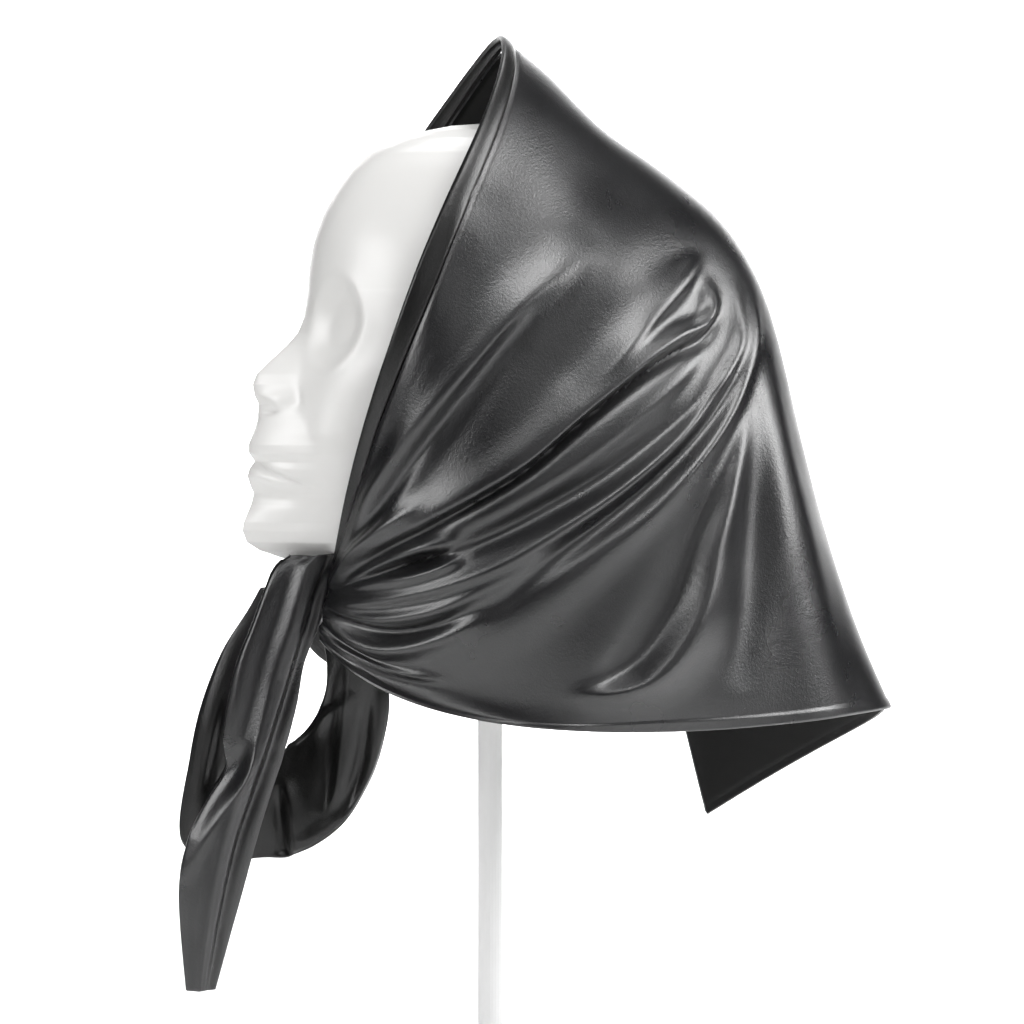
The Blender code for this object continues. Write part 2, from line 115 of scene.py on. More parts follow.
# The folds of the hood's near side, each a curve from the back towards the knot
# as it is seen from the camera, in 1024ths of the picture from its top left
# corner: height in mm (negative is a trough), and its widths above and below.
DRAWN = """
fold          x    y  height above below crest
cheek_ridge  592  236   0.0   26    20   1.8
cheek_ridge  574  256   1.2   26    16   1.7
cheek_ridge  553  279   2.6   24    13   1.5
cheek_ridge  515  312   4.2   26    11   1.4
cheek_ridge  480  353   4.8   26    11   1.3
cheek_ridge  440  402   4.4   22    11   1.3
cheek_ridge  408  444   3.8   17    10   1.4
cheek_ridge  375  492   2.8   12     8   1.4
cheek_ridge  350  535   0.0    8     6   1.4
cheek_dark   532  320   0.0   10    16   2.0
cheek_dark   504  347  -2.4   10    22   2.0
cheek_dark   458  407  -3.4   10    24   2.0
cheek_dark   414  463  -3.2    9    20   2.0
cheek_dark   378  512  -2.0    8    12   2.0
cheek_dark   352  547   0.0    6     8   2.0
faint_ridge  470  396   0.0    8    10   1.6
faint_ridge  432  450   1.6    8    12   1.6
faint_ridge  396  502   2.4    7    11   1.5
faint_ridge  366  540   2.0    6     8   1.5
faint_ridge  343  566   0.0    5     6   1.5
jaw_ridge    428  498   0.0    8     8   1.5
jaw_ridge    391  524   2.4    7     7   1.5
jaw_ridge    362  548   3.2    6     6   1.4
jaw_ridge    340  573   2.4    5     5   1.4
jaw_ridge    326  592   0.0    4     4   1.4
edge_swell   478  200   0.0   16    20   2.0
edge_swell   466  240   1.6   18    24   2.0
edge_swell   450  285   2.2   18    24   2.0
edge_swell   436  330   2.2   16    22   2.0
edge_swell   412  388   1.8   14    18   2.0
edge_swell   388  445   0.0   12    14   2.0
lap_upper    696  255   0.0    8     7   1.7
lap_upper    687  276   2.6   14     7   1.6
lap_upper    666  302   3.8   22     8   1.5
lap_upper    640  330   4.0   24     8   1.5
lap_upper    612  358   2.6   24     9   1.6
lap_upper    583  388   0.0   18     8   1.6
lap_edge     694  279   0.0    5     5   1.7
lap_edge     706  294   2.2    5     4   1.8
lap_edge     709  312   3.4    6     3.4 1.9
lap_edge     698  330   4.2    8     3.0 2.0
lap_edge     673  343   5.0   14     3.0 2.0
lap_edge     640  366   5.8   22     3.0 2.0
lap_edge     611  389   5.8   24     3.0 2.0
lap_edge     574  419   5.4   26     3.2 2.0
lap_edge     526  461   4.8   26     3.4 1.9
lap_edge     478  492   4.0   22     3.6 1.8
lap_edge     429  519   3.2   18     3.6 1.7
lap_edge     381  544   2.2   12     3.4 1.6
lap_edge     345  568   0.0    8     3.0 1.6
lap_crease   716  316   0.0    3     5   1.8
lap_crease   703  338  -2.0    3     5   1.8
lap_crease   677  351  -3.0    3     5   1.8
lap_crease   643  373  -3.2    3     5   1.8
lap_crease   613  396  -3.2    3     5   1.8
lap_crease   577  426  -3.0    3     5   1.8
lap_crease   529  468  -2.6    3     5   1.8
lap_crease   481  499  -2.2    3     5   1.8
lap_crease   432  526  -1.8    3     5   1.8
lap_crease   384  551  -1.2    3     4   1.8
lap_crease   350  574   0.0    3     4   1.8
lap_lower    700  350   0.0    8     7   1.8
lap_lower    686  368   1.6   14     8   1.8
lap_lower    664  390   2.6   20     9   1.8
lap_lower    636  414   3.2   24    10   1.8
lap_lower    594  448   3.2   24    10   1.8
lap_lower    554  476   2.6   20    10   1.8
lap_lower    494  512   1.6   14     9   1.7
lap_lower    432  540   0.0    8     8   1.6
black_dip    718  380   0.0    7     7   2.0
black_dip    702  402  -1.6    8     7   2.0
black_dip    662  437  -2.6   10     8   2.0
black_dip    610  477  -3.2   11     9   2.0
black_dip    564  503  -3.2   11     9   2.0
black_dip    502  534  -2.8   10     8   2.0
black_dip    440  558  -2.0    8     7   2.0
black_dip    398  571   0.0    7     6   2.0
line_e       729  280   0.0    5     5   1.4
line_e       735  338   2.6    6     5   1.4
line_e       723  373   3.4    7     6   1.4
line_e       699  410   4.0    8     7   1.3
line_e       669  445   4.6    9     8   1.3
line_e       628  481   5.0   11     9   1.3
line_e       580  516   5.0   12    10   1.3
line_e       515  557   5.0   13    10   1.3
line_e       456  582   4.6   12     9   1.3
line_e       397  597   3.8   10     7   1.4
line_e       355  602   2.4    8     6   1.5
line_e       325  603   0.0    6     5   1.5
dip_f        735  372   0.0    4     4   1.8
dip_f        722  402  -1.2    5     6   1.8
dip_f        700  434  -2.2    6     7   1.8
dip_f        666  470  -2.6    7     8   1.8
dip_f        620  510  -2.6    8     9   1.8
dip_f        560  555  -2.0    9    10   1.8
dip_f        515  587   0.0    9    10   1.8
line_f       746  288   0.0    5     6   1.4
line_f       746  344   3.0    6     7   1.4
line_f       735  391   3.8    7     9   1.4
line_f       717  428   4.2    8    10   1.3
line_f       688  469   4.4   10    12   1.3
line_f       651  511   4.0   12    15   1.4
line_f       604  548   3.4   14    20   1.6
line_f       548  592   2.6   17    24   1.8
line_f       497  628   2.0   18    22   1.9
line_f       438  648   0.0   16    16   2.0
curl         746  404   0.0    5    10   1.5
curl         738  450   2.6    6    16   1.5
curl         723  505   3.8    7    19   1.5
curl         709  548   4.4    7    23   1.5
curl         700  592   5.2    8    26   1.5
curl         688  624   5.8    8    26   1.5
curl         669  658   5.8    8    20   1.5
curl         646  681   5.0    8    15   1.5
curl         616  692   4.0    8    12   1.6
curl         590  694   1.6    8     9   1.7
curl         572  691   0.0    8     8   1.7
pocket       722  480   0.0   14     7   2.0
pocket       700  540  -2.2   20     7   2.0
pocket       685  590  -3.2   26     7   2.0
pocket       672  620  -3.8   28     7   2.0
pocket       652  648  -3.8   26     7   2.0
pocket       624  672  -3.0   18     7   2.0
pocket       596  681   0.0   12     7   2.0
band         749  300   0.0    8    10   1.8
band         764  400   2.6   12    14   1.9
band         778  474   3.8   16    17   2.0
band         794  545   4.2   20    20   2.0
band         807  610   4.0   22    22   2.0
band         818  670   3.0   24    24   2.0
band         826  718   2.0   26    26   2.0
band_dip     757  400   0.0   12    10   2.0
band_dip     754  470  -1.6   14    12   2.0
band_dip     754  540  -2.8   16    13   2.0
band_dip     750  600  -2.8   17    14   2.0
band_dip     742  655  -1.6   16    14   2.0
band_dip     736  695   0.0   14    14   2.0
tuck         346  582   0.0    4     5   1.6
tuck         372  570   2.4    4     6   1.6
tuck         397  558   3.8    5     7   1.6
tuck         426  547   4.6    5     8   1.6
tuck         447  548   4.6    5     8   1.6
tuck         455  557   4.4    5     7   1.6
tuck         438  567   4.0    5     6   1.6
tuck         409  576   3.6    4     6   1.6
tuck         375  582   2.4    4     5   1.6
tuck         350  586   0.0    4     5   1.6
tuck_dark    362  577   0.0    4     4   1.9
tuck_dark    395  567  -2.8    4     4   1.9
tuck_dark    424  559  -3.4    4     4   1.9
tuck_dark    440  557  -2.0    4     4   1.9
tuck_dark    449  557   0.0    4     4   1.9
knot_line    560  550   0.0    7     8   1.5
knot_line    497  583   3.0    8     9   1.5
knot_line    438  609   4.4    9     9   1.4
knot_line    379  618   4.4    8     8   1.4
knot_line    345  612   3.0    6     6   1.4
knot_line    324  607   0.0    5     5   1.4
knot_dip     486  598   0.0    5     6   1.9
knot_dip     438  624  -2.4    5     6   1.9
knot_dip     390  632  -3.0    5     6   1.9
knot_dip     352  622  -2.0    4     5   1.9
knot_dip     330  613   0.0    4     4   1.9
knot_low     490  612   0.0    8     8   1.6
knot_low     450  634   2.4    8     9   1.6
knot_low     415  646   3.6    7     8   1.5
knot_low     379  648   3.6    6     8   1.5
knot_low     347  637   2.6    5     6   1.5
knot_low     325  624   0.0    4     5   1.5
hem_fold     452  680   0.0    5     5   1.6
hem_fold     405  673   2.2    5     5   1.6
hem_fold     372  665   3.0    5     5   1.6
hem_fold     346  652   2.6    5     5   1.6
hem_fold     327  636   0.0    4     4   1.6
"""

# Broad soft swells and hollows of the hood: where, how high and how wide.
SWELLS = table("""
side  along  line   height  long   across
  1   0.13   0.20   -3.0    0.10   0.09
  1   0.28   0.29    2.6    0.09   0.06
  1   0.50   0.07   -1.4    0.16   0.04
  1   0.00   0.47    4.0    0.20   0.14
 -1   0.00   0.47    4.0    0.20   0.14
 -1   0.15   0.18   -2.6    0.10   0.09
 -1   0.34   0.26    2.4    0.10   0.06
 -1   0.50   0.08   -1.6    0.16   0.05
 -1   0.55   0.86    2.2    0.10   0.08
""")


def smooth(u):
    u = np.clip(u, 0.0, 1.0)
    return u * u * (3 - 2 * u)


def along(rows, u):
    """Smooth curve through every column of a table, u from 0 to 1."""
    names = list(rows)
    a = np.stack([rows[n] for n in names], 1)
    u = np.clip(np.asarray(u, float), 0, 1) * (len(a) - 1)
    i = np.clip(np.floor(u).astype(int), 0, len(a) - 2)
    f = (u - i)[..., None]
    p0, p1 = a[np.clip(i - 1, 0, None)], a[i]
    p2, p3 = a[i + 1], a[np.clip(i + 2, None, len(a) - 1)]
    m1 = np.where((i == 0)[..., None], p2 - p1, (p2 - p0) / 2)
    m2 = np.where((i == len(a) - 2)[..., None], p2 - p1, (p3 - p1) / 2)
    v = ((2 * f**3 - 3 * f**2 + 1) * p1 + (f**3 - 2 * f**2 + f) * m1
         + (3 * f**2 - 2 * f**3) * p2 + (f**3 - f**2) * m2)
    return {n: v[..., k] for k, n in enumerate(names)}


def unit(v):
    return v / np.maximum(np.linalg.norm(v, axis=-1, keepdims=True), 1e-9)


def grid_normals(p):
    return unit(np.cross(np.gradient(p, axis=0), np.gradient(p, axis=1)))


def spread(v, cells):
    """Soften a grid a little, keeping its border."""
    for _ in range(cells):
        w = v.copy()
        w[1:-1] = 0.25 * v[:-2] + 0.5 * v[1:-1] + 0.25 * v[2:]
        v = w.copy()
        v[:, 1:-1] = 0.25 * w[:, :-2] + 0.5 * w[:, 1:-1] + 0.25 * w[:, 2:]
    return v


def new_object(name, verts, faces, materials, face_material=None, smooth_angle=50):
    me = bpy.data.meshes.new(name)
    me.from_pydata((np.asarray(verts) * MM).tolist(), [], faces)
    me.validate()
    ob = bpy.data.objects.new(name, me)
    bpy.context.scene.collection.objects.link(ob)
    for m in materials:
        me.materials.append(m)
    if face_material is not None:
        me.polygons.foreach_set("material_index", face_material)
    me.shade_smooth()
    me.set_sharp_from_angle(angle=math.radians(smooth_angle))
    v = 0.0
    me.calc_loop_triangles()
    co = np.array([p.co for p in me.vertices])
    tri = np.array([t.vertices[:] for t in me.loop_triangles])
    a, b, c = co[tri[:, 0]], co[tri[:, 1]], co[tri[:, 2]]
    if (a * np.cross(b, c)).sum() < 0:
        me.flip_normals()
    return ob


def grid_faces(ids):
    """Quads of a grid of vertex numbers as four columns; a missing corner is -1
    and drops its cells."""
    q = np.stack([ids[:-1, :-1], ids[1:, :-1], ids[1:, 1:], ids[:-1, 1:]], -1).reshape(-1, 4)
    return q[q.min(1) >= 0]


def vertex_normals(verts, quads):
    a, b, c, d = (verts[quads[:, i]] for i in range(4))
    n = np.cross(c - a, d - b)
    total = np.zeros_like(verts)
    for i in range(4):
        np.add.at(total, quads[:, i], n)
    return unit(total)


def shell(verts, quads, wall, middle, belly=0.42):
    """Closed wall: the quads, the same quads moved in by the wall, and a
    rounded rim along each open edge. middle is a point on the inner side.
    Gives points, faces and for each face 0 outside, 1 inside, 2 rim."""
    verts = np.asarray(verts, float)
    k = len(verts)
    normals = vertex_normals(verts, quads)
    if (normals * (verts - np.asarray(middle))).sum() < 0:
        normals, quads = -normals, quads[:, ::-1]
    wall = np.broadcast_to(wall, (k,))[:, None]
    inner = verts - normals * wall
    e = np.concatenate([quads[:, [i, (i + 1) % 4]] for i in range(4)])
    e = e[e[:, 0] != e[:, 1]]
    key, back = e[:, 0] * k + e[:, 1], e[:, 1] * k + e[:, 0]
    e = e[~np.isin(key, back)]
    on = np.unique(e)
    number = np.full(k, -1)
    number[on] = 2 * k + np.arange(len(on))
    # outward direction of each rim point, across its open edges
    along_rim = np.zeros((k, 3))
    step = verts[e[:, 1]] - verts[e[:, 0]]
    np.add.at(along_rim, e[:, 0], step)
    np.add.at(along_rim, e[:, 1], step)
    away = unit(np.cross(along_rim[on], normals[on]))
    mid = 0.5 * (verts[on] + inner[on]) + away * belly * wall[on]
    a, b = e[:, 0], e[:, 1]
    rim = np.concatenate([np.stack([b, a, number[a], number[b]], -1),
                          np.stack([number[b], number[a], a + k, b + k], -1)])
    faces = np.concatenate([quads, quads[:, ::-1] + k, rim])
    kind = np.repeat([0, 1, 2], [len(quads), len(quads), len(rim)])
    out = []
    for f in faces.tolist():
        out.append([v for i, v in enumerate(f) if v != f[i - 1]])
    return np.concatenate([verts, inner, mid]), out, kind


def grid_shell(p, wall, middle, belly=0.42):
    n, m, _ = p.shape
    ids = np.arange(n * m).reshape(n, m)
    return shell(p.reshape(-1, 3), grid_faces(ids), np.broadcast_to(wall, (n, m)).ravel(), middle, belly)


# ---- materials --------------------------------------------------------------
def nodes_of(mat):
    mat.use_nodes = True
    nt = mat.node_tree
    return nt, nt.nodes["Principled BSDF"]


def leather(name, colour, rough, bump, shine, sheen=0.0):
    """Black faux leather: fine pebbled grain and uneven gloss."""
    mat = bpy.data.materials.new(name)
    nt, bsdf = nodes_of(mat)
    n, l = nt.nodes, nt.links
    bsdf.inputs["Specular IOR Level"].default_value = shine
    bsdf.inputs["Coat Weight"].default_value = 0.10
    bsdf.inputs["Coat Roughness"].default_value = 0.30
    if sheen:
        bsdf.inputs["Sheen Weight"].default_value = sheen
        bsdf.inputs["Sheen Roughness"].default_value = 0.45
    tc = n.new("ShaderNodeTexCoord")
    grain = n.new("ShaderNodeTexVoronoi")
    grain.feature = "SMOOTH_F1"
    grain.inputs["Scale"].default_value = 760.0
    grain.inputs["Smoothness"].default_value = 0.6
    fine = n.new("ShaderNodeTexNoise")
    fine.inputs["Scale"].default_value = 1900.0
    fine.inputs["Detail"].default_value = 3.0
    broad = n.new("ShaderNodeTexNoise")
    broad.inputs["Scale"].default_value = 26.0
    broad.inputs["Detail"].default_value = 4.0
    for t in (grain, fine, broad):
        l.new(tc.outputs["Object"], t.inputs["Vector"])
    mix = n.new("ShaderNodeMath")
    mix.operation = "MULTIPLY_ADD"
    mix.inputs[1].default_value = 0.55
    l.new(grain.outputs["Distance"], mix.inputs[0])
    l.new(fine.outputs["Fac"], mix.inputs[2])
    b = n.new("ShaderNodeBump")
    b.inputs["Strength"].default_value = bump
    b.inputs["Distance"].default_value = 0.00016
    l.new(mix.outputs[0], b.inputs["Height"])
    l.new(b.outputs["Normal"], bsdf.inputs["Normal"])
    ramp = n.new("ShaderNodeMapRange")
    ramp.inputs["From Min"].default_value = 0.3
    ramp.inputs["From Max"].default_value = 0.7
    ramp.inputs["To Min"].default_value = rough - 0.035
    ramp.inputs["To Max"].default_value = rough + 0.045
    l.new(broad.outputs["Fac"], ramp.inputs["Value"])
    l.new(ramp.outputs["Result"], bsdf.inputs["Roughness"])
    tone = n.new("ShaderNodeMix")
    tone.data_type = "RGBA"
    tone.inputs["A"].default_value = (*[c * 0.8 for c in colour], 1)
    tone.inputs["B"].default_value = (*[c * 1.25 for c in colour], 1)
    l.new(fine.outputs["Fac"], tone.inputs["Factor"])
    l.new(tone.outputs["Result"], bsdf.inputs["Base Color"])
    return mat


def plain(name, colour, rough, coat, mottling):
    """Moulded gloss or sprayed paint: a trace of uneven gloss and tone."""
    mat = bpy.data.materials.new(name)
    nt, bsdf = nodes_of(mat)
    n, l = nt.nodes, nt.links
    bsdf.inputs["Coat Weight"].default_value = coat
    bsdf.inputs["Coat Roughness"].default_value = 0.26
    tc = n.new("ShaderNodeTexCoord")
    noise = n.new("ShaderNodeTexNoise")
    noise.inputs["Scale"].default_value = 14.0
    noise.inputs["Detail"].default_value = 3.0
    l.new(tc.outputs["Object"], noise.inputs["Vector"])
    r = n.new("ShaderNodeMapRange")
    r.inputs["To Min"].default_value = rough - mottling
    r.inputs["To Max"].default_value = rough + mottling
    l.new(noise.outputs["Fac"], r.inputs["Value"])
    l.new(r.outputs["Result"], bsdf.inputs["Roughness"])
    tone = n.new("ShaderNodeMix")
    tone.data_type = "RGBA"
    tone.inputs["A"].default_value = (*[c * 0.985 for c in colour], 1)
    tone.inputs["B"].default_value = (*colour, 1)
    l.new(noise.outputs["Fac"], tone.inputs["Factor"])
    l.new(tone.outputs["Result"], bsdf.inputs["Base Color"])
    fine = n.new("ShaderNodeTexNoise")
    fine.inputs["Scale"].default_value = 350.0
    l.new(tc.outputs["Object"], fine.inputs["Vector"])
    b = n.new("ShaderNodeBump")
    b.inputs["Strength"].default_value = 0.03
    b.inputs["Distance"].default_value = 0.0002
    l.new(fine.outputs["Fac"], b.inputs["Height"])
    l.new(b.outputs["Normal"], bsdf.inputs["Normal"])
    return mat


outside = leather("scarf_face", (0.006, 0.006, 0.007), 0.295, 0.7, 0.95)
# A less shiny copy of the scarf leather: painted shade that darkens the slack loop and the face edge band
shaded_face = leather("scarf_face_shaded", (0.006, 0.006, 0.006), 0.30, 0.6, 0.55)
inside = leather("scarf_back", (0.005, 0.005, 0.005), 0.62, 0.2, 0.25, sheen=0.03)
gloss_white = plain("head_gloss_white", (0.77, 0.765, 0.75), 0.36, 0.3, 0.03)
paint_white = plain("stand_white_paint", (0.84, 0.84, 0.84), 0.34, 0.2, 0.04)


# ---- the hood ---------------------------------------------------------------
def gather_line(a, b):
    """Point on the smooth hood. a: 0 face edge to 1 hem; b: -1 far knot end,
    0 ridge, 1 near knot end."""
    a, b = np.broadcast_arrays(np.asarray(a, float), np.asarray(b, float))
    t = np.abs(b)
    r = along(HOOPS, a)
    w = r["half_width"]
    y0, z0, y3, z3 = r["top_y"], r["top_z"], r["knot_y"], r["knot_z"]
    y1, z1 = y0 + r["leave_y"], z0 + r["leave_z"]
    y2, z2 = y3 + r["arrive_y"], z3 + r["arrive_z"]
    c0, c1, c2, c3 = (1 - t)**3, 3 * (1 - t)**2 * t, 3 * (1 - t) * t * t, t**3
    y = c0 * y0 + c1 * y1 + c2 * y2 + c3 * y3
    z = c0 * z0 + c1 * z1 + c2 * z2 + c3 * z3
    rise = np.sin(np.pi / 2 * np.clip(t / WIDEST_AT, 0, 1)) ** r["round"]
    end = KNOT_HALF / w
    fall = end + (1 - end) * np.cos(np.pi / 2 * np.clip((t - WIDEST_AT) / (1 - WIDEST_AT), 0, 1)) ** 0.9
    x = np.sign(b) * w * np.where(t < WIDEST_AT, rise, fall)
    return np.stack([x, y, z], -1)


def hood_line(a, b):
    """The same, and past the hem (a over 1) 100 mm straight on for each 1."""
    p, q = gather_line(a, b), gather_line(1.0, b)
    on = unit(q - gather_line(0.9, b))
    on[..., 1] *= 1 - 0.28 * smooth(np.abs(b) / FLAP_AT)
    return p + unit(on) * 100.0 * np.clip(np.asarray(a, float) - 1, 0, None)[..., None]


def corner_drop(t):
    """How far the cloth goes on below the hem line on the far side, down to
    the free corner; beyond that corner it ends at the hem line again."""
    s = t / FLAP_AT
    return FLAP_DROP * (0.8 * s + 0.2 * s ** 3)


def line_spacing(a, b):
    """Millimetres for one whole gather line unit, which shrinks at the knot."""
    a = np.clip(a, 0.03, 0.97)
    lo, hi = a - 0.03, a + 0.03
    return np.linalg.norm(hood_line(hi, b) - hood_line(lo, b), axis=-1) / (hi - lo)


def relief(rows, s, c, side=None):
    """Height of a table of folds at places s along and c across a cloth."""
    h = np.zeros(np.broadcast(s, c).shape)
    for k in range(len(rows["start"])):
        f = {n: rows[n][k] for n in rows}
        here = (s > f["start"]) & (s < f["end"])
        if side is not None:
            here = here & (side == f["side"])
        if not here.any():
            continue
        si, ci = s[here], c[here]
        u = np.clip((si - f["start"]) / (f["end"] - f["start"]), 0, 1)
        path = along({"at": np.array([f["at_%d" % i] for i in range(1, 6)])}, u)["at"]
        d = ci - path
        d = np.where(d > 0, d / f["down"], d / f["up"])
        r = np.sqrt(d * d + 0.04) - 0.2
        fade = smooth((si - f["start"]) / f["fade_in"]) * smooth((f["end"] - si) / f["fade_out"])
        h[here] += f["height"] * fade * np.exp(-np.abs(r) ** f["crest"])
    return h


def seen_at(p):
    """Where points in mm fall in the camera's picture, in its 1024ths."""
    ahead = unit(np.array(AIM) - EYE)
    across = unit(np.cross(ahead, (0, 0, 1)))
    d = p * MM - EYE
    k = LENS / 36.0 * 1024 / (d @ ahead)
    return 512 + k * (d @ across), 512 - k * (d @ np.cross(across, ahead))


def drawn_relief(text, p):
    """Height of a table of folds drawn in the picture, at points of a cloth."""
    rows = [l.split() for l in text.strip().splitlines()]
    x, y = seen_at(p)
    h = np.zeros(x.shape)
    for name in dict.fromkeys(r[0] for r in rows[1:]):
        c = {n: np.array([float(r[i]) for r in rows if r[0] == name]) for i, n in enumerate(rows[0]) if i}
        m = 14 * len(c["x"])
        q = along(c, np.linspace(0, 1, m))
        far = 3.0 * max(q["above"].max(), q["below"].max())
        near = ((x > q["x"].min() - far) & (x < q["x"].max() + far)
                & (y > q["y"].min() - far) & (y < q["y"].max() + far))
        if not near.any():
            continue
        dx, dy = x[near][:, None] - q["x"], y[near][:, None] - q["y"]
        i = (dx * dx + dy * dy).argmin(1)
        dx, dy = (v[np.arange(len(i)), i] for v in (dx, dy))
        tx, ty = np.gradient(q["x"]), np.gradient(q["y"])
        step = np.hypot(tx, ty)
        tx, ty = (tx / step)[i], (ty / step)[i]
        u = i + np.clip((dx * tx + dy * ty) / step[i], -1, 1)
        f = {n: np.interp(u, np.arange(m), q[n]) for n in ("height", "above", "below", "crest")}
        d = dx * ty - dy * tx
        d = d / np.where(d > 0, f["below"], f["above"])
        beyond = np.abs(dx * tx + dy * ty) > 2.5 * step[i]
        g = f["height"] * np.exp(-(np.sqrt(d * d + 0.03) - 0.17) ** f["crest"])
        h[near] += np.where(beyond, 0, g)
    return h


def fold_height(a, b):
    t = np.abs(b)
    pinch = np.clip(line_spacing(a, b) / 260.0, 0.02, 1.0) ** 0.8
    side = np.where(b < 0, -1, 1)
    h = relief(FOLDS, t, a, side)
    for k in range(len(SWELLS["side"])):
        w = {n: SWELLS[n][k] for n in SWELLS}
        g = np.exp(-((t - w["along"]) / w["long"]) ** 2 - ((a - w["line"]) / w["across"]) ** 2)
        h += np.where(side == w["side"], w["height"] * g, 0)
    drawn = 1.3 * drawn_relief(DRAWN, hood_line(a, b)) * smooth(t / 0.05)
    return h * pinch + np.where(b > 0, drawn, 0)


def edge_width(t):
    return np.interp(t, EDGE["along"], EDGE["width"])


def columns(near, far, power=1.15):
    one, other = (np.linspace(0, 1, count + 1) ** power for count in (near, far))
    other[np.argmin(np.abs(other - FLAP_AT))] = FLAP_AT
    return np.concatenate([-other[:0:-1], one])


def lines_per_mm(t):
    p, q = hood_line(0.02, t), hood_line(0.10, t)
    return 0.08 / np.linalg.norm(q - p, axis=-1)


def folded(a, b):
    """The folded surface at a grid of gather lines and places along them."""
    p = hood_line(a, b)
    n = grid_normals(p)
    out = np.sign((n * (p - MIDDLE)).sum())
    return p + n * out * fold_height(a, b)[..., None]


def hood_start(t):
    return edge_width(t) + SEAM * (1 + 1.5 * smooth((t - 0.8) / 0.15)) * lines_per_mm(t)


def hood_wall(b):
    return CLOTH + (CLOTH_AT_KNOT - CLOTH) * smooth((np.abs(b) - 0.75) / 0.25)


def turned_hem(from_hem):
    """The fold of cloth along the hem stands a little proud of the rest."""
    return 0.5 * smooth((5.5 - from_hem) / 1.6)


def make_hood():
    cols = columns(HOOD_NEAR, HOOD_FAR)
    b, u = np.meshgrid(cols, np.linspace(0, 1, HOOD_ROWS + 1))
    t = np.abs(b)
    start = hood_start(t)
    a = start + (1 - start) * u
    p = spread(folded(a, b), 1)
    n = grid_normals(p)
    n = n * np.sign((n * (p - MIDDLE)).sum())
    # the hem's turned edge, and the soft step at the seam of the face edge
    spacing = line_spacing(np.full_like(a, 0.97), b)
    from_hem = (1 - a) * spacing + np.where((b < 0) & (t < FLAP_AT), corner_drop(t), 0)
    from_edge = (a - start) * line_spacing(np.full_like(a, 0.08), b)
    p = p + n * (turned_hem(from_hem) - 0.9 * np.exp(-(from_edge / 1.6) ** 2) * (1 - smooth((t - 0.8) / 0.2)))[..., None]
    ids = np.arange(p.size // 3).reshape(b.shape)
    on = np.where((cols >= -FLAP_AT - 1e-6) & (cols < -1e-6))[0]
    first, last = on[0], on[-1] + 1
    bc, v = np.meshgrid(cols[first:last + 1], np.linspace(0, 1, CORNER_ROWS + 1))
    ac = 1 + corner_drop(-bc) * v / 100.0
    q = folded(ac, bc)
    n = grid_normals(q)
    n = n * np.sign((n * (q - MIDDLE)).sum())
    q = q + n * turned_hem(corner_drop(-bc) * (1 - v))[..., None]
    # take up the small step where the corner leaves the hem line
    q = q + (p[-1, first:last + 1] - q[0])[None] * (1 - smooth(v))[..., None]
    more = np.full((CORNER_ROWS + 1, len(cols)), -1)
    more[0] = ids[-1]
    more[1:, last] = ids[-1, last]
    more[1:, first:last] = ids.size + np.arange(CORNER_ROWS * (last - first)).reshape(CORNER_ROWS, -1)
    verts = np.concatenate([p.reshape(-1, 3), q[1:, :-1].reshape(-1, 3)])
    wall = np.concatenate([hood_wall(b).ravel(), hood_wall(bc[1:, :-1]).ravel()])
    quads = np.concatenate([grid_faces(ids), grid_faces(more)])
    v, f, kind = shell(verts, quads, wall, MIDDLE)
    return new_object("hood_cloth", v, f, [outside, inside], (kind == 1).astype(int))


def make_face_edge():
    b, u = np.meshgrid(columns(170, 130), np.linspace(0, 1, 15))
    p = folded(edge_width(np.abs(b)) * u, b)
    n = grid_normals(p)
    n = n * np.sign((n * (p - MIDDLE)).sum())
    thick = 0.9 * (1 - smooth((np.abs(b) - 0.75) / 0.2))
    p = p + n * (thick * np.sin(np.pi * np.clip(u, 0, 1)) ** 0.6)[..., None]
    v, f, kind = grid_shell(p, thick + hood_wall(b), MIDDLE)
    # The edge band takes the less shiny leather copy: painted shade, darker than the hood beside it
    return new_object("face_edge_cloth", v, f, [shaded_face], 0 * kind)


hood = make_hood()
face_edge = make_face_edge()
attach(hood, "root")
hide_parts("hood")
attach(face_edge, "root")
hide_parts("face_edge")


# ---- the free end in front ----------------------------------------------------
# Sections from under the chin down: how far forward (y) are its left edge, the
# ridge and the right edge, and how far out (x) its face stands.
TAIL = table("""
   z    left    ridge   right  out
 252.3  -101.2  -86.3   -80.2  23.5
 246.8  -108.4  -90.2   -81.0  24.0
 236.6  -113.0  -93.7   -82.6  24.5
 220.4  -119.1  -98.2   -87.0  24.3
 201.8  -126.4  -104.3  -94.3  23.6
 183.3  -130.4  -109.9  -97.6  23.0
 168.4  -132.0  -114.4  -101.3 22.5
 161.4  -131.4  -116.4  -103.4 22.0
 155.9  -130.6  -118.2  -104.8 21.8
 149.4  -132.6  -120.3  -107.0 21.5
 139.1  -139.5  -123.6  -110.4 21.0
 125.2  -147.0  -128.3  -114.8 20.5
 113.6  -150.6  -131.3  -118.1 20.0
 105.6  -152.2  -133.4  -120.2 19.6
  92.5  -152.9  -136.1  -123.7 18.8
  71.3  -151.6  -139.5  -129.6 17.3
  49.5  -149.8  -142.6  -135.9 15.8
""")

